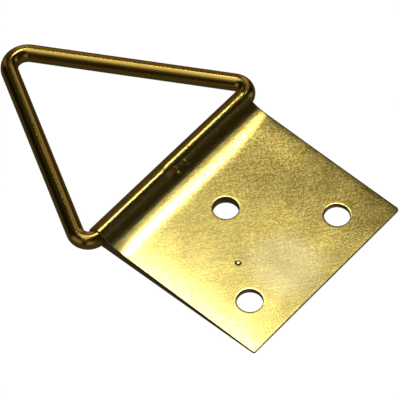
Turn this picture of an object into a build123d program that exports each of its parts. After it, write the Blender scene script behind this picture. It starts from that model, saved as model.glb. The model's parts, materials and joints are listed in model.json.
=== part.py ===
from build123d import *
import os
from math import acos, asin, atan2, cos, degrees, radians, sin, tan

os.makedirs("parts", exist_ok=True)

# Picture hanger: a bent wire triangle that swings in the rolled edge of a plate folded from thin sheet.
# The flat back lies on Z = 0 with its middle at the origin, Y points to the triangle's apex and Z to the front.

# Sheet of the plate, in millimetres
sheet_thickness = 0.2
plate_width = 26.3
leaf_length = 23.9  # from the low edge to the line under the wire
low_edge_gap = 0.03  # between the two leaves at the low edge
corner_radius = 0.4  # low corners of both leaves

# Roll round the wire and the hollow bend down to the front leaf
wire_play = 0.06  # radial room for the wire to turn
crown_drop = 1.08  # from the roll's crown down to the line of the front leaf
crease_radius = 4.0  # hollow bend below the roll
sweep_radius = 20.0  # gentler hollow between the crease and the flat of the front leaf
sweep_angle = 8.0  # how far that gentle hollow turns the sheet, in degrees

# Screw holes, punched through both leaves
hole_diameter = 3.1
hole_spacing = 15.8  # between the two lower holes
hole_row_pitch = 10.4  # from the lower holes up to the single one
low_edge_margin = 4.9  # from the low edge to the centres of the lower holes
hole_shift = -0.25  # the punching sits a little off the plate's centre line

# Small dent in the front leaf
dent_diameter = 0.7
dent_depth = 0.08
dent_x = -5.1
dent_y = -2.75

# Wire of the triangle, all three sides equal
wire_diameter = 2.15
base_bend_inside = 0.53  # inner radius of the two bends beside the plate
apex_bend_inside = 1.12
mouth_tuck = 0.12  # how far the bends start inside the roll's mouths
butt_gap = 0.3  # between the wire's two ends, inside the roll
butt_shift = -0.8  # from the centre line to that gap

# Folded plate, drawn as the line of its outer face from the low edge of the back leaf to that of the front leaf
roll_radius = wire_diameter / 2 + wire_play + sheet_thickness
roll_centre = Vector(leaf_length / 2, roll_radius)
low_back = Vector(-leaf_length / 2, 0)
low_front = Vector(-leaf_length / 2, 2 * sheet_thickness + low_edge_gap)

# The front leaf's line passes above the wire's axis by what the roll's crown leaves over
line_above_axis = roll_radius - crown_drop
low_to_axis = roll_centre - low_front
leaf_angle = atan2(low_to_axis.Y, low_to_axis.X) + asin(line_above_axis / low_to_axis.length)
leaf_way = Vector(cos(leaf_angle), sin(leaf_angle))
leaf_out = Vector(-sin(leaf_angle), cos(leaf_angle))

# Steepest slope of the sheet, where the roll turns over into the crease
soft = radians(sweep_angle)
steep = acos(
    (line_above_axis + crease_radius * cos(soft) + sweep_radius * (1 - cos(soft)))
    / (roll_radius + crease_radius)
)
crease_run = crease_radius * (sin(steep) - sin(soft))
sweep_run = sweep_radius * sin(soft)
flat_run = leaf_way.dot(low_to_axis) - roll_radius * sin(steep) - crease_run - sweep_run
sweep_foot = low_front + leaf_way * flat_run
crease_foot = sweep_foot + leaf_way * sweep_run + leaf_out * sweep_radius * (1 - cos(soft))
crease_top = crease_foot + leaf_way * crease_run + leaf_out * crease_radius * (cos(soft) - cos(steep))


def front_z(y):
    """Height of the flat of the front leaf's face."""
    return low_front.Y + tan(leaf_angle) * (y - low_front.X)


lower_row_y = low_back.X + low_edge_margin
hole_places = [
    (hole_shift - hole_spacing / 2, lower_row_y),
    (hole_shift + hole_spacing / 2, lower_row_y),
    (hole_shift, lower_row_y + hole_row_pitch),
]
dent_ball_radius = (dent_diameter**2 / 4 + dent_depth**2) / (2 * dent_depth)

with BuildPart() as folded_plate:
    with BuildSketch(Plane.YZ):
        with BuildLine():
            back = Line(low_back, (roll_centre.X, 0))
            roll = TangentArc(back @ 1, crease_top, tangent=back % 1)
            crease = TangentArc(roll @ 1, crease_foot, tangent=roll % 1)
            sweep_in = TangentArc(crease @ 1, sweep_foot, tangent=crease % 1)
            Line(sweep_in @ 1, low_front)
            offset(amount=sheet_thickness, side=Side.LEFT)
        make_face()
    extrude(amount=plate_width / 2, both=True)
    low_corners = folded_plate.edges().filter_by(Axis.X, reverse=True).group_by(Axis.Y)[0]
    fillet(low_corners.filter_by(lambda edge: edge.length < 2 * sheet_thickness), corner_radius)
    with Locations([(x, y, 2 * roll_radius) for x, y in hole_places]):
        Hole(hole_diameter / 2)
    with Locations((dent_x, dent_y, front_z(dent_y) + dent_ball_radius - dent_depth)):
        Sphere(dent_ball_radius, mode=Mode.SUBTRACT)

folded_plate.part.label = "folded_plate"
export_step(folded_plate.part, "parts/folded_plate.step")

# Wire triangle, bent from one length of round wire whose ends butt together inside the roll
base_bend_radius = base_bend_inside + wire_diameter / 2
apex_bend_radius = apex_bend_inside + wire_diameter / 2
half_side = plate_width / 2 - mouth_tuck + base_bend_radius / tan(radians(30))
axis_y = roll_centre.X
apex_y = axis_y + half_side * tan(radians(60))

with BuildPart() as wire_triangle:
    with BuildLine(Plane.XY.offset(roll_radius)) as wire_line:
        FilletPolyline(
            (butt_shift + butt_gap / 2, axis_y),
            (half_side, axis_y),
            (0, apex_y),
            (-half_side, axis_y),
            (butt_shift - butt_gap / 2, axis_y),
            radius=[base_bend_radius, apex_bend_radius, base_bend_radius],
        )
    with BuildSketch(Plane(origin=wire_line.line @ 0, z_dir=wire_line.line % 0)):
        Circle(wire_diameter / 2)
    sweep(path=wire_line.line)

wire_triangle.part.label = "wire_triangle"
export_step(wire_triangle.part, "parts/wire_triangle.step")

print("leaves open by", round(degrees(leaf_angle), 2), "steepest", round(degrees(steep), 2), "degrees")
print("swing axis at y", round(axis_y, 3), "z", round(roll_radius, 3))
for x, y in hole_places:
    print("hole at", round(x, 3), round(y, 3), "front face at z", round(front_z(y), 3))
print("triangle side", round(2 * half_side, 3), "apex corner at y", round(apex_y, 3))
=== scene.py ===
import json
from math import acos, asin, atan2, cos, exp, pi, radians, sin

import bmesh
import bpy
from mathutils import Matrix, Vector, noise


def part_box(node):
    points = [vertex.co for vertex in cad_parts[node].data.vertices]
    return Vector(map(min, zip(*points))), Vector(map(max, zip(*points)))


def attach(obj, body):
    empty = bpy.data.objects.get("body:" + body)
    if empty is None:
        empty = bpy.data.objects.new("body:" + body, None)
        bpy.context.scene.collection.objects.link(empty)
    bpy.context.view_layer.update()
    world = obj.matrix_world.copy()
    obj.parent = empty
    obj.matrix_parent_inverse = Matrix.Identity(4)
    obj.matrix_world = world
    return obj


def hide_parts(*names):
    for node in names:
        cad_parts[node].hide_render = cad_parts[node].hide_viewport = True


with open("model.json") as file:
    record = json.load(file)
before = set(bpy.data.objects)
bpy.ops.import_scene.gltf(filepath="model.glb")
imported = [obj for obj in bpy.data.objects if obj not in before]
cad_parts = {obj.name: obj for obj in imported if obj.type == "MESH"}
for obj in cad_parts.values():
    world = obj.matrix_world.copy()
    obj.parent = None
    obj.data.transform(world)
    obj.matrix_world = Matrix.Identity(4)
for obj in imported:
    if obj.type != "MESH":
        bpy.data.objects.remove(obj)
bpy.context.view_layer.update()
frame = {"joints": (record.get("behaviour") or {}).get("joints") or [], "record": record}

# Triangle picture hanger: a bent wire swings in the rolled edge of a plate folded from thin sheet.
# Units are metres, with X across the plate, Y up to the triangle's apex and Z out of the front.
mm = 0.001
mergeWithin = 0.002 * mm  # vertices nearer than this become one
plateLow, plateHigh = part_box("folded_plate")
wireLow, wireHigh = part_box("wire_triangle")
wireAxis = Vector(frame["joints"][0]["pos_m"])  # the wire's middle line inside the roll
screwHoles = [mount for mount in frame["record"]["mounts"] if mount["kind"] == "bore"]


# Small tools for modelling

def clearSelection():
    if bpy.context.object and bpy.context.object.mode != "OBJECT":
        bpy.ops.object.mode_set(mode="OBJECT")
    bpy.ops.object.select_all(action="DESELECT")


def editVerts(piece, wanted):
    # goes to edit mode with just those vertices selected whose place passes the test
    bpy.ops.object.mode_set(mode="EDIT")
    bpy.ops.mesh.select_mode(type="VERT")
    bpy.ops.mesh.select_all(action="DESELECT")
    shape = bmesh.from_edit_mesh(piece.data)
    for vert in shape.verts:
        vert.select_set(wanted(vert.co))
    shape.select_flush_mode()
    bmesh.update_edit_mesh(piece.data)


def editFaces(piece, wanted):
    # the same for faces
    bpy.ops.object.mode_set(mode="EDIT")
    bpy.ops.mesh.select_mode(type="FACE")
    bpy.ops.mesh.select_all(action="DESELECT")
    shape = bmesh.from_edit_mesh(piece.data)
    for face in shape.faces:
        face.select_set(wanted(face))
    bmesh.update_edit_mesh(piece.data)


def roundPlace(piece, place, normal, reach, rings):
    # merges the faces round a place and draws that one face in to round rings of a radius and a depth
    sameWay = 0.8  # least cosine to the normal there, so that the other leaf is left alone
    editFaces(piece, lambda face: face.normal.dot(normal) > sameWay
              and max(abs(part) for part in face.calc_center_median() - place) < reach)
    bpy.ops.mesh.dissolve_faces()
    side = normal.orthogonal().normalized()
    other = normal.cross(side)
    for radius, depth in rings:
        bpy.ops.mesh.extrude_region_move(TRANSFORM_OT_translate={"value": (0, 0, 0)})
        shape = bmesh.from_edit_mesh(piece.data)
        ring = [(atan2((vert.co - place).dot(other), (vert.co - place).dot(side)), vert)
                for vert in shape.verts if vert.select]
        ring.sort(key=lambda pair: pair[0])
        for i, (angle, vert) in enumerate(ring):
            even = ring[0][0] + 2 * pi * i / len(ring)
            vert.co = place + radius * (cos(even) * side + sin(even) * other) - depth * normal
        bmesh.update_edit_mesh(piece.data)


def extrudeRun(way, cell):
    # draws the selected row or ring out along a straight line, in steps of about one cell
    steps = max(1, round(way.length / cell))
    for step in range(steps):
        bpy.ops.mesh.extrude_region_move(TRANSFORM_OT_translate={"value": way / steps})


def spinRound(centre, axis, turn, steps):
    # turns the selected row or ring about an axis; the operator counts its angle the other way round
    bpy.ops.mesh.spin(steps=steps, angle=-turn, center=centre, axis=axis)


def settle(piece):
    # puts the object at the origin, with its place in its mesh
    clearSelection()
    piece.select_set(True)
    bpy.context.view_layer.objects.active = piece
    bpy.ops.object.transform_apply(location=True, rotation=True, scale=True)


def applyModifier(piece, kind, **settings):
    modifier = piece.modifiers.new(kind.title(), kind)
    for name, value in settings.items():
        setattr(modifier, name, value)
    bpy.context.view_layer.objects.active = piece
    bpy.ops.object.modifier_apply(modifier=modifier.name)


def shadeSmooth(piece, angle):
    clearSelection()
    piece.select_set(True)
    bpy.context.view_layer.objects.active = piece
    bpy.ops.object.shade_smooth_by_angle(angle=radians(angle))
    # weighting by area overlooks faces as small as these in metres, so it is done in millimetres
    piece.data.transform(Matrix.Scale(1 / mm, 4))
    applyModifier(piece, "WEIGHTED_NORMAL", keep_sharp=True)
    piece.data.transform(Matrix.Scale(mm, 4))


# Small tools for materials

def linear(hexColour):
    # an sRGB hex colour as the linear colour that a socket takes
    parts = [int(hexColour[i:i + 2], 16) / 255 for i in (1, 3, 5)]
    return [c / 12.92 if c <= 0.04045 else ((c + 0.055) / 1.055) ** 2.4 for c in parts] + [1.0]


def addNode(tree, kind, inputs=None, **settings):
    # one node with its settings, and its inputs as values or as the sockets that feed them
    node = tree.nodes.new("ShaderNode" + kind)
    for name, value in settings.items():
        setattr(node, name, value)
    for name, value in (inputs or {}).items():
        socket = node.inputs[name] if isinstance(name, int) else next(
            s for s in node.inputs if s.name == name and s.enabled)
        if isinstance(value, bpy.types.NodeSocket):
            tree.links.new(value, socket)
        else:
            socket.default_value = value
    return node


def result(node):
    # the one output that a node of several kinds has switched on
    return next(socket for socket in node.outputs if socket.enabled)


def newMaterial(name):
    material = bpy.data.materials.new(name)
    material.use_nodes = True
    material.node_tree.nodes.clear()
    return material, material.node_tree


# Brass plating on thin rolled steel: bright satin, so it blurs what it mirrors and shows a fine grain

sheetFinish = {
    "brass": "#FAE68B",
    "tarnish": "#BE9E34",
    "spotShareAcross": (-8 * mm, 9 * mm, 0.6, 1.0),  # across the plate, with its least and greatest share, so that the spots are darker towards the right
    "scuffed": "#FFF2BE",
    "roughness": (0.095, 0.145),
    "mottleFrom": (0.7, 1.3),  # sums of grain and cloud that give those two
    "grainSize": 0.26 * mm,  # coarser than real plating, so that it shows
    "grainDetail": 4.0,
    "grainBlend": 0.65,  # how strong its finest layers are
    "grainDepth": 0.003 * mm,
    "grainInLeaf": 0.35,  # share of that depth in the flat of the leaves
    "grainFrom": (1.55 * mm, 1.75 * mm),  # heights between which it reaches its full depth
    "cloudSize": 3.0 * mm,
    "rubSize": (3.5 * mm, 0.14 * mm, 0.3 * mm),
    "rubTurn": radians(38),
    "rubShare": 0.3,
    "spotsFrom": (0.53, 0.76),  # sums of grain and rub marks from bare brass to full tarnish
    "scuffPlace": (-1.5 * mm, -7.2 * mm, 0.6 * mm),
    "scuffReach": (2.5 * mm, 6.0 * mm),
    "scuffRagged": 3.0 * mm,  # how far its outline wanders
    "scuffShare": 0.32,
    "scuffDulling": 0.018,
    "lineSize": (9 * mm, 0.3 * mm, 0.3 * mm),  # drawn lines along the fold
    "lineDepth": 0.0012 * mm,
    "bendFrom": (1.45 * mm, 1.75 * mm),  # heights between which the sheet starts to bend
    "bendDulling": 0.09,  # bending roughens the plating
}


def brassPlatedSheet():
    finish = sheetFinish
    material, tree = newMaterial("brassPlatedSheet")
    place = addNode(tree, "TexCoord").outputs["Object"]
    parts = addNode(tree, "SeparateXYZ", {"Vector": place})
    grain = addNode(tree, "TexNoise", {
        "Vector": place, "Scale": 1 / finish["grainSize"],
        "Detail": finish["grainDetail"], "Roughness": finish["grainBlend"]})
    cloud = addNode(tree, "TexNoise", {"Vector": place, "Scale": 1 / finish["cloudSize"]})
    mottle = addNode(tree, "Math", {0: grain.outputs["Fac"], 1: cloud.outputs["Fac"]}, operation="ADD")
    roughness = addNode(tree, "MapRange", {
        "Value": mottle.outputs[0],
        "From Min": finish["mottleFrom"][0], "From Max": finish["mottleFrom"][1],
        "To Min": finish["roughness"][0], "To Max": finish["roughness"][1]})

    # rub marks run aslant over the leaf, and tarnish settles in them and in the grain; the spots are darker
    # towards the right
    turned = addNode(tree, "Mapping", {"Vector": place, "Rotation": (0, 0, finish["rubTurn"])})
    stretched = addNode(tree, "Mapping", {
        "Vector": turned.outputs[0], "Scale": [1 / size for size in finish["rubSize"]]})
    rubs = addNode(tree, "TexNoise", {"Vector": stretched.outputs[0], "Scale": 1.0})
    marks = addNode(tree, "Math", {
        0: rubs.outputs["Fac"], 1: finish["rubShare"], 2: grain.outputs["Fac"]}, operation="MULTIPLY_ADD")
    spots = addNode(tree, "MapRange", {
        "Value": marks.outputs[0], "From Min": finish["spotsFrom"][0], "From Max": finish["spotsFrom"][1]})
    rightwards = addNode(tree, "MapRange", {
        "Value": parts.outputs["X"],
        "From Min": finish["spotShareAcross"][0], "From Max": finish["spotShareAcross"][1],
        "To Min": finish["spotShareAcross"][2], "To Max": finish["spotShareAcross"][3]})
    tarnished = addNode(tree, "Math", {0: spots.outputs[0], 1: rightwards.outputs[0]}, operation="MULTIPLY")
    plated = addNode(tree, "Mix", {
        "Factor": tarnished.outputs[0],
        "A": linear(finish["brass"]), "B": linear(finish["tarnish"])}, data_type="RGBA")

    # a patch of the front leaf that rubbing has left pale
    away = addNode(tree, "VectorMath", {0: place, 1: finish["scuffPlace"]}, operation="DISTANCE")
    ragged = addNode(tree, "Math", {
        0: cloud.outputs["Fac"], 1: finish["scuffRagged"], 2: result(away)}, operation="MULTIPLY_ADD")
    scuff = addNode(tree, "MapRange", {
        "Value": ragged.outputs[0],
        "From Min": finish["scuffReach"][0] + finish["scuffRagged"] / 2,
        "From Max": finish["scuffReach"][1] + finish["scuffRagged"] / 2,
        "To Min": finish["scuffShare"], "To Max": 0.0}, interpolation_type="SMOOTHSTEP")
    colour = addNode(tree, "Mix", {
        "Factor": scuff.outputs[0], "A": result(plated), "B": linear(finish["scuffed"])}, data_type="RGBA")

    # the grain is deeper towards the fold
    deeper = addNode(tree, "MapRange", {
        "Value": parts.outputs["Z"],
        "From Min": finish["grainFrom"][0], "From Max": finish["grainFrom"][1],
        "To Min": finish["grainInLeaf"], "To Max": 1.0})
    grainBump = addNode(tree, "Bump", {
        "Strength": deeper.outputs[0], "Height": grain.outputs["Fac"], "Distance": finish["grainDepth"]})

    # lines along the fold, only where the sheet bends
    drawn = addNode(tree, "Mapping", {
        "Vector": place, "Scale": [1 / size for size in finish["lineSize"]]})
    lines = addNode(tree, "TexNoise", {"Vector": drawn.outputs[0], "Scale": 1.0})
    bend = addNode(tree, "MapRange", {
        "Value": parts.outputs["Z"], "From Min": finish["bendFrom"][0], "From Max": finish["bendFrom"][1]})
    bump = addNode(tree, "Bump", {
        "Strength": bend.outputs[0], "Height": lines.outputs["Fac"], "Distance": finish["lineDepth"],
        "Normal": grainBump.outputs["Normal"]})

    # the scuffed patch and the bend are duller
    scuffed = addNode(tree, "Math", {
        0: scuff.outputs[0], 1: finish["scuffDulling"], 2: roughness.outputs[0]}, operation="MULTIPLY_ADD")
    dulled = addNode(tree, "Math", {
        0: bend.outputs[0], 1: finish["bendDulling"], 2: scuffed.outputs[0]}, operation="MULTIPLY_ADD")
    shader = addNode(tree, "BsdfPrincipled", {
        "Base Color": result(colour),
        "Metallic": 1.0,
        "Roughness": dulled.outputs[0],
        "Normal": bump.outputs["Normal"],
    })
    addNode(tree, "OutputMaterial", {"Surface": shader.outputs["BSDF"]})
    return material


# Bare steel of the sheared edges and the fold's inside, gone brown: dull, so it hardly mirrors anything

edgeFinish = {"steel": "#85745C", "roughness": 0.6}


def shearedEdge():
    material, tree = newMaterial("shearedEdge")
    shader = addNode(tree, "BsdfPrincipled", {
        "Base Color": linear(edgeFinish["steel"]),
        "Roughness": edgeFinish["roughness"],
    })
    addNode(tree, "OutputMaterial", {"Surface": shader.outputs["BSDF"]})
    return material


# Brass plating on drawn wire: smoother than the sheet, so it shows sharp streaks of light and dark

wireFinish = {
    "brass": "#F0D168",
    "tarnish": "#D8B24C",
    "roughness": (0.15, 0.22),
    "streakFrom": (0.3, 0.7),  # shades of the streaks that give those two
    "streakSize": (6 * mm, 6 * mm, 0.18 * mm),  # thin in height, so that they run along the flat triangle
    "streakDepth": 0.0003 * mm,
}


def brassPlatedWire():
    finish = wireFinish
    material, tree = newMaterial("brassPlatedWire")
    place = addNode(tree, "TexCoord").outputs["Object"]
    drawn = addNode(tree, "Mapping", {
        "Vector": place, "Scale": [1 / size for size in finish["streakSize"]]})
    streaks = addNode(tree, "TexNoise", {"Vector": drawn.outputs[0], "Scale": 1.0})
    roughness = addNode(tree, "MapRange", {
        "Value": streaks.outputs["Fac"],
        "From Min": finish["streakFrom"][0], "From Max": finish["streakFrom"][1],
        "To Min": finish["roughness"][0], "To Max": finish["roughness"][1]})
    colour = addNode(tree, "Mix", {
        "Factor": streaks.outputs["Fac"],
        "A": linear(finish["brass"]), "B": linear(finish["tarnish"])}, data_type="RGBA")
    bump = addNode(tree, "Bump", {"Height": streaks.outputs["Fac"], "Distance": finish["streakDepth"]})
    shader = addNode(tree, "BsdfPrincipled", {
        "Base Color": result(colour),
        "Metallic": 1.0,
        "Roughness": roughness.outputs[0],
        "Normal": bump.outputs["Normal"],
    })
    addNode(tree, "OutputMaterial", {"Surface": shader.outputs["BSDF"]})
    return material


# Folded plate: a flat back leaf, whose top edge is spun round the wire and drawn down as the front leaf

plateShape = {
    "sheet": 0.2 * mm,
    "lowEdgeGap": 0.03 * mm,  # between the leaves at the low edge
    "crownDrop": 1.08 * mm,  # from the roll's crown down to the line of the front leaf
    "creaseRadius": 4.0 * mm,
    "sweepRadius": 20.0 * mm,
    "sweepTurn": radians(8),
    "cornerRadius": 0.4 * mm,
    "cornerSteps": 5,
    "cellAcross": 0.25 * mm,  # spacing of the mesh
    "cell": 0.5 * mm,
    "rollSteps": 56,
    "creaseSteps": 14,
    "sweepSteps": 8,
    "edgeRounding": 0.02 * mm,
    "edgeSteps": 2,
    "edgeAngle": 60,  # degrees past which an edge is rounded
    "smoothAngle": 40,  # and past which it stays crisp in the shading
    "holeReach": 2.2 * mm,  # half the square of mesh that is redrawn round a hole
    "drawnIn": (  # rim of a hole in the front leaf: how far outside it and how deep, in mm
        (0.36, 0.0), (0.24, 0.0), (0.16, 0.0), (0.09, 0.003), (0.04, 0.009), (0.0, 0.022)),
    "plainRim": ((0.1, 0.0), (0.0, 0.0)),  # the same for the back leaf
    "dents": {  # place across and up, half of the mesh redrawn, then rings of radius and depth, all in mm
        "pit": (-5.1, -2.7, 0.8, (
            (0.54, 0), (0.45, 0), (0.4, 0), (0.38, 0.012), (0.35, 0.10), (0.3, 0.13), (0.12, 0.135))),
        "burrOne": (1.30, 10.95, 0.3, ((0.22, 0), (0.17, -0.010), (0.10, -0.055), (0.05, -0.065))),
        "nickOne": (1.12, 10.50, 0.3, ((0.22, 0), (0.17, 0.010), (0.07, 0.050))),
        "burrTwo": (-0.30, 11.15, 0.3, ((0.22, 0), (0.17, -0.010), (0.10, -0.055), (0.05, -0.065))),
        "burrThree": (-0.36, 10.48, 0.3, ((0.22, 0), (0.17, -0.010), (0.10, -0.055), (0.05, -0.065))),
    },
    # the next ones that end in Below are distances below the wire's axis between which a form sets in
    "kinkFrom": (-2.0 * mm, -0.9 * mm),  # the sheet tilts over the wire's ends, from here to the right
    "kinkDepth": 0.1 * mm,
    "kinkBelow": (-0.5 * mm, 0.6 * mm),
    "kinkSink": 0.24,  # share of that depth by which the tilt is let down, to stay under the roll's crown
    "sinkBelow": (0.0, 0.6 * mm),
    "kinkFade": (0.6 * mm, 1.6 * mm),  # distances from the axis between which the tilt ends
    "waveSize": 7 * mm,  # gentle waves that the press left in the front leaf
    "waveDepth": 0.012 * mm,
    "waveBelow": (4 * mm, 8 * mm),
    "leftCurl": 0.058 * mm,  # the sheared edges are drawn down, the left one more
    "leftReach": 2.5 * mm,
    "rightCurl": 0.010 * mm,
    "rightReach": 0.75 * mm,
    "curlBelow": (1.5 * mm, 4.5 * mm),
    "swell": (13.2 * mm, 6.5 * mm, 3.2 * mm, 0.06 * mm),  # place, reach and height of the largest bulge
    "swellBelow": (2.5 * mm, 5 * mm),
    "lowCurl": 0.025 * mm,  # the low edge bends up a little
    "lowReach": 3.2 * mm,
}


def foldedPlate():
    shape = plateShape
    width = plateHigh.x - plateLow.x
    rollRadius = wireAxis.z  # the roll lies on the plane of the back
    crease, sweep, sweepTurn = shape["creaseRadius"], shape["sweepRadius"], shape["sweepTurn"]

    # the front leaf's line, and how far the sheet leans where it leaves the roll
    lowFront = Vector((0, plateLow.y, 2 * shape["sheet"] + shape["lowEdgeGap"]))
    lineAboveAxis = rollRadius - shape["crownDrop"]
    toAxis = wireAxis - lowFront
    leafAngle = atan2(toAxis.z, toAxis.y) + asin(lineAboveAxis / toAxis.length)
    steep = acos(
        (lineAboveAxis + crease * cos(sweepTurn) + sweep * (1 - cos(sweepTurn))) / (rollRadius + crease))

    def outwards(lean):
        return Vector((0, -sin(lean), cos(lean)))

    # back leaf
    backLength = wireAxis.y - plateLow.y
    clearSelection()
    bpy.ops.mesh.primitive_grid_add(
        x_subdivisions=round(width / shape["cellAcross"]), y_subdivisions=round(backLength / shape["cell"]),
        size=1, location=(0, plateLow.y + backLength / 2, plateLow.z))
    plate = bpy.context.object
    plate.name = "foldedPlate"
    plate.scale = (width, backLength, 1)
    settle(plate)

    # roll, crease and sweep, each spun about its own centre, then the flat of the front leaf
    editVerts(plate, lambda place: place.y > wireAxis.y - shape["cell"] / 4)
    lean = steep + leafAngle
    spinRound(wireAxis, (1, 0, 0), pi + lean, shape["rollSteps"])
    rim = rollEnd = wireAxis + rollRadius * outwards(lean)
    for radius, turn, steps in (
        (crease, steep - sweepTurn, shape["creaseSteps"]),
        (sweep, sweepTurn, shape["sweepSteps"]),
    ):
        centre = rim + radius * outwards(lean)
        spinRound(centre, (1, 0, 0), -turn, steps)
        lean -= turn
        rim = centre - radius * outwards(lean)
    extrudeRun(lowFront - rim, shape["cell"])

    # low corners of both leaves
    halfCell = shape["cellAcross"] / 2
    editVerts(plate, lambda place: place.y < plateLow.y + halfCell
              and abs(place.x) > plateHigh.x - halfCell)
    bpy.ops.mesh.bevel(offset=shape["cornerRadius"], segments=shape["cornerSteps"], affect="VERTICES")
    bpy.ops.mesh.select_all(action="SELECT")
    bpy.ops.mesh.remove_doubles(threshold=mergeWithin)
    bpy.ops.mesh.normals_make_consistent(inside=False)
    bpy.ops.object.mode_set(mode="OBJECT")
    lowest = min(plate.data.polygons, key=lambda face: face.center.z)
    if lowest.normal.z > 0:
        plate.data.flip_normals()

    def surfaceAt(x, y, side):
        # place and outward direction on the front leaf where side is 1, or on the back one where it is -1
        clear = 20 * mm  # the ray starts well outside the plate
        bpy.ops.object.mode_set(mode="OBJECT")
        hit, place, normal, face = plate.ray_cast(Vector((x, y, side * clear)), Vector((0, 0, -side)))
        return place, normal

    # the front isn't quite even: waves and a bulge in the leaf, bent edges, and a tilt over the wire's ends
    def ease(value, low, high):
        part = min(1, max(0, (value - low) / (high - low)))
        return part * part * (3 - 2 * part)

    def unevenness(place):
        below = wireAxis.y - place.y
        wave = shape["waveDepth"] * noise.noise(Vector((place.x, place.y, 0)) / shape["waveSize"])
        lift = shape["lowCurl"] * max(0, 1 - (place.y - plateLow.y) / shape["lowReach"]) ** 2
        curl = shape["leftCurl"] * exp((plateLow.x - place.x) / shape["leftReach"])
        curl += shape["rightCurl"] * exp((place.x - plateHigh.x) / shape["rightReach"])
        swellX, swellY, reach, bulge = shape["swell"]
        bulge *= exp(-((place.x - swellX) ** 2 + (place.y - swellY) ** 2) / (2 * reach ** 2))
        tilt = ease(below, *shape["kinkBelow"]) - 0.5
        tilt += shape["kinkSink"] * (1 - ease(below, *shape["sinkBelow"]))
        kink = shape["kinkDepth"] * ease(place.x, *shape["kinkFrom"]) * tilt
        return (ease(below, *shape["waveBelow"]) * (wave + lift)
                + ease(below, *shape["swellBelow"]) * bulge
                - ease(below, *shape["curlBelow"]) * curl
                - (1 - ease(abs(below), *shape["kinkFade"])) * kink)

    for vert in plate.data.vertices:
        if vert.co.z > wireAxis.z or vert.co.y < rollEnd.y and vert.co.z > shape["sheet"]:
            vert.co.z += unevenness(vert.co)

    # punched holes through both leaves, drawn in a little at the front
    spots = [(hole, *surfaceAt(*hole["pos_m"][:2], side)) for hole in screwHoles for side in (1, -1)]
    for hole, place, normal in spots:
        radius = hole["dims"]["r_mm"] * mm
        rim = shape["drawnIn"] if normal.z > 0 else shape["plainRim"]
        roundPlace(plate, place, normal, shape["holeReach"],
                   [(radius + outside * mm, depth * mm) for outside, depth in rim])
        bpy.ops.mesh.delete(type="FACE")

    # the pit, and small burrs and a nick in the roll
    for x, y, reach, rings in shape["dents"].values():
        place, normal = surfaceAt(x * mm, y * mm, 1)
        roundPlace(plate, place, normal, reach * mm, [(radius * mm, depth * mm) for radius, depth in rings])
        bpy.ops.mesh.merge(type="CENTER")
    bpy.ops.object.mode_set(mode="OBJECT")

    # thickness of the sheet, whose sheared edges and inner side take the second material
    plate.data.materials.append(brassPlatedSheet())
    plate.data.materials.append(shearedEdge())
    applyModifier(plate, "SOLIDIFY", thickness=shape["sheet"], offset=-1.0,
                  material_offset=1, material_offset_rim=1)
    applyModifier(plate, "BEVEL", width=shape["edgeRounding"], segments=shape["edgeSteps"],
                  limit_method="ANGLE", angle_limit=radians(shape["edgeAngle"]),
                  material=1, use_clamp_overlap=False)
    shadeSmooth(plate, shape["smoothAngle"])
    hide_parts("folded_plate")
    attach(plate, "plate")
    print("folded plate:", len(plate.data.polygons), "faces")


# Wire triangle: a ring is drawn out along the straight runs and spun round the three bends

wireShape = {
    "baseBend": 1.605 * mm,  # radii of the wire's middle line
    "apexBend": 2.195 * mm,
    "buttGap": 0.3 * mm,  # between the two ends, inside the roll
    "buttShift": -0.8 * mm,
    "sides": 48,
    "bendSteps": 40,
    "cell": 1.0 * mm,
    "smoothAngle": 40,  # degrees past which an edge stays crisp
}


def wireTriangle():
    shape = wireShape
    radius = (wireHigh.z - wireLow.z) / 2
    corner = radians(120)  # how far the wire turns at each bend
    mouthX = wireHigh.x - radius - shape["baseBend"]
    baseY = wireAxis.y + shape["baseBend"]
    apexY = wireHigh.y - radius - shape["apexBend"]
    startX = shape["buttShift"] + shape["buttGap"] / 2
    here = Vector((startX, wireAxis.y, wireAxis.z))
    end = here - Vector((shape["buttGap"], 0, 0))
    bends = [  # centre and radius, in the order in which the wire runs
        (Vector((mouthX, baseY, wireAxis.z)), shape["baseBend"]),
        (Vector((0, apexY, wireAxis.z)), shape["apexBend"]),
        (Vector((-mouthX, baseY, wireAxis.z)), shape["baseBend"]),
    ]

    clearSelection()
    bpy.ops.mesh.primitive_circle_add(
        vertices=shape["sides"], radius=radius, location=here, rotation=(0, pi / 2, 0))
    wire = bpy.context.object
    wire.name = "wireTriangle"
    settle(wire)
    editVerts(wire, lambda place: True)
    heading = 0.0
    for centre, bend in bends:
        start = centre + bend * Vector((sin(heading), -cos(heading), 0))
        extrudeRun(start - here, shape["cell"])
        spinRound(centre, (0, 0, 1), corner, shape["bendSteps"])
        heading += corner
        here = centre + bend * Vector((sin(heading), -cos(heading), 0))
    extrudeRun(end - here, shape["cell"])
    bpy.ops.mesh.select_all(action="SELECT")
    bpy.ops.mesh.remove_doubles(threshold=mergeWithin)
    bpy.ops.mesh.fill_holes(sides=0)
    bpy.ops.mesh.normals_make_consistent(inside=False)
    bpy.ops.object.mode_set(mode="OBJECT")

    wire.data.materials.append(brassPlatedWire())
    shadeSmooth(wire, shape["smoothAngle"])
    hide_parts("wire_triangle")
    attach(wire, "triangle")
    print("wire triangle:", len(wire.data.polygons), "faces")


# Studio: soft boxes over the far right, dim surroundings, and a pale floor that the camera sees as white

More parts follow.
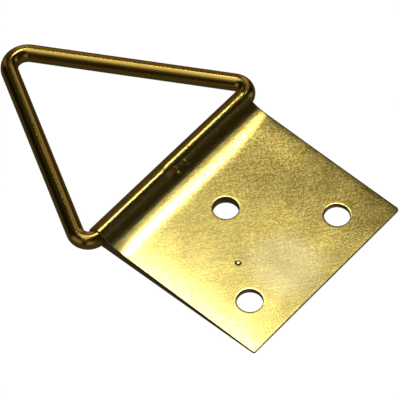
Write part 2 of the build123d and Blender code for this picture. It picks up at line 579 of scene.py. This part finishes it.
studio = {
    "softBoxes": {  # name: middle, width, length, lean about Y, radiance
        "lowBox": ((0.87, 0.42, 2.0), 0.30, 0.22, 0, 8.5),
        "highBox": ((0.8045, 0.69, 2.0), 0.169, 0.32, 0, 4.7),
        "boxSide": ((0.9845, 0.685, 2.0), 0.191, 0.31, 0, 0.62),
        "leftBox": ((0.31, 0.44, 2.0), 0.82, 0.80, 0, 0.95),
        "leftGlow": ((-0.35, 0.15, 2.0), 0.50, 0.70, 0, 0.62),
        "leftDim": ((-0.82, -0.15, 2.0), 0.44, 0.70, 0, 0.22),
        "leftEnd": ((-1.37, -0.45, 2.0), 0.66, 0.70, 0, 0.08),
        "lampEdge": ((1.25, -1.7, 2.0), 0.9, 0.07, 0, 0.25),
        "farWall": ((1.7, 0.6, 1.4), 1.0, 0.8, 50, 0.15),
    },
    "fills": {  # light only the dull edges and the fold's inside: place, size, radiance
        "rightFill": ((0.7, -2.0, 0.8), 1.0, 8.0),
        "leftFill": ((-2.0, -0.9, 1.4), 1.0, 3.0),
    },
    "floorDrop": 20 * mm,  # leaves room for the triangle to swing behind the plate
    "floorSize": 6.0,
    "paper": "#4B4A47",
    "paperGlow": 0.985,  # white to the camera
    "paperInMetal": 0.026,  # and dim in the metal
    "warmWay": (0.75, 0.65, 0.1),
    "walls": {  # how far a direction lies along warmWay: colour of the walls there, browner on the warm side
        0.2: "#21180F", 0.42: "#0A0804", 0.58: "#0A0804", 0.85: "#3F2B0C", 0.97: "#6A4C1C",
    },
    "paleWalls": {  # degrees round from +X: radiance of the parts of the walls that are lit
        -179: 0.2, -174: 0.2, -166: 0.0, -148: 0.0, -141: 0.2, -128: 0.2, -112: 0.06, -84: 0.0,
        -51: 0.0, -47: 0.2, -30: 0.2, -22: 0.0, 12: 0.0, 17: 0.2, 27: 0.2, 31: 0.0,
        39: 0.0, 43: 0.2, 54: 0.2, 58: 0.0, 78: 0.0, 84: 0.15, 92: 0.15, 98: 0.0,
        138: 0.0, 148: 0.2, 179: 0.2,
    },
    "wallTop": (0.5, 0.8),  # rise of the directions between which that light fades
}


def softBoxes():
    for name, (place, width, length, lean, radiance) in studio["softBoxes"].items():
        bpy.ops.object.light_add(type="AREA", location=place, rotation=(0, radians(lean), 0))
        lamp = bpy.context.object
        lamp.name = name
        lamp.data.shape = "RECTANGLE"
        lamp.data.size = width
        lamp.data.size_y = length
        lamp.data.energy = radiance * pi * width * length
    for name, (place, size, radiance) in studio["fills"].items():
        bpy.ops.object.light_add(type="AREA", location=place)
        fill = bpy.context.object
        fill.name = name
        fill.rotation_euler = Vector(place).to_track_quat("Z", "Y").to_euler()
        fill.data.size = size
        fill.data.energy = radiance * pi * size * size
        fill.visible_glossy = False
    print("studio:", len(studio["softBoxes"]) + len(studio["fills"]), "lamps")


def paleFloor():
    clearSelection()
    bpy.ops.mesh.primitive_plane_add(
        size=studio["floorSize"], location=(0, 0, plateLow.z - studio["floorDrop"]))
    floor = bpy.context.object
    floor.name = "paleFloor"
    material, tree = newMaterial("whitePaper")
    rays = addNode(tree, "LightPath")
    seen = addNode(tree, "Math", {
        0: rays.outputs["Is Camera Ray"], 1: rays.outputs["Is Transmission Ray"]}, operation="MAXIMUM")
    glow = addNode(tree, "Math", {0: seen.outputs[0], 1: studio["paperGlow"]}, operation="MULTIPLY")
    mirrored = addNode(tree, "Math", {
        0: rays.outputs["Is Glossy Ray"], 1: studio["paperInMetal"], 2: glow.outputs[0]},
        operation="MULTIPLY_ADD")
    white = addNode(tree, "Emission", {"Color": (1, 1, 1, 1), "Strength": mirrored.outputs[0]})
    paper = addNode(tree, "BsdfDiffuse", {"Color": linear(studio["paper"])})
    both = addNode(tree, "AddShader", {0: white.outputs[0], 1: paper.outputs[0]})
    addNode(tree, "OutputMaterial", {"Surface": both.outputs[0]})
    floor.data.materials.append(material)
    print("floor laid")


def studioWorld():
    world = bpy.data.worlds.new("studioWorld")
    world.use_nodes = True
    tree = world.node_tree
    tree.nodes.clear()
    rays = addNode(tree, "LightPath")
    seen = addNode(tree, "Math", {
        0: rays.outputs["Is Camera Ray"], 1: rays.outputs["Is Transmission Ray"]}, operation="MAXIMUM")
    way = addNode(tree, "TexCoord").outputs["Generated"]
    along = addNode(tree, "VectorMath", {0: way, 1: studio["warmWay"]}, operation="DOT_PRODUCT")
    parts = addNode(tree, "SeparateXYZ", {0: way})
    turn = addNode(tree, "Math", {0: parts.outputs["Y"], 1: parts.outputs["X"]}, operation="ARCTAN2")
    bearing = addNode(tree, "MapRange", {"Value": turn.outputs[0], "From Min": -pi, "From Max": pi})
    fade = addNode(tree, "MapRange", {
        "Value": parts.outputs["Z"], "From Min": studio["wallTop"][0], "From Max": studio["wallTop"][1],
        "To Min": 1.0, "To Max": 0.0})
    walls = addNode(tree, "ValToRGB", {0: result(along)})
    pale = addNode(tree, "ValToRGB", {0: result(bearing)})
    for ramp, colours in (
        (walls, {stop: linear(colour) for stop, colour in studio["walls"].items()}),
        (pale, {angle / 360 + 0.5: (light, light, light, 1) for angle, light in studio["paleWalls"].items()}),
    ):
        stops = ramp.color_ramp.elements
        for stop, colour in colours.items():
            stops.new(stop).color = colour
        stops.remove(stops[0])  # the two that a new ramp has
        stops.remove(stops[-1])
    lit = addNode(tree, "Mix", {
        "Factor": fade.outputs[0], "A": walls.outputs["Color"], "B": pale.outputs["Color"]},
        data_type="RGBA", blend_type="ADD")
    room = addNode(tree, "Background", {"Color": result(lit)})
    white = addNode(tree, "Background", {"Color": (1, 1, 1, 1)})
    mix = addNode(tree, "MixShader", {0: seen.outputs[0], 1: room.outputs[0], 2: white.outputs[0]})
    addNode(tree, "OutputWorld", {"Surface": mix.outputs[0]})
    bpy.context.scene.world = world
    print("walls lit")


# Camera at the photograph's place, long enough that the plate's edges stay nearly parallel

view = {
    "place": (-203.308 * mm, -176.145 * mm, 384.155 * mm),
    "turn": (35.395, 0.950, -49.228),
    "lens": 360.2,
    "sensor": 36.0,
    "clip": (0.01, 20.0),
}


def photoCamera():
    bpy.ops.object.camera_add(location=view["place"], rotation=[radians(angle) for angle in view["turn"]])
    camera = bpy.context.object
    camera.data.sensor_width = view["sensor"]
    camera.data.lens = view["lens"]
    camera.data.clip_start, camera.data.clip_end = view["clip"]
    bpy.context.scene.camera = camera
    print("camera set")


foldedPlate()
wireTriangle()
softBoxes()
paleFloor()
studioWorld()
photoCamera()
bpy.context.scene.view_settings.view_transform = "Standard"
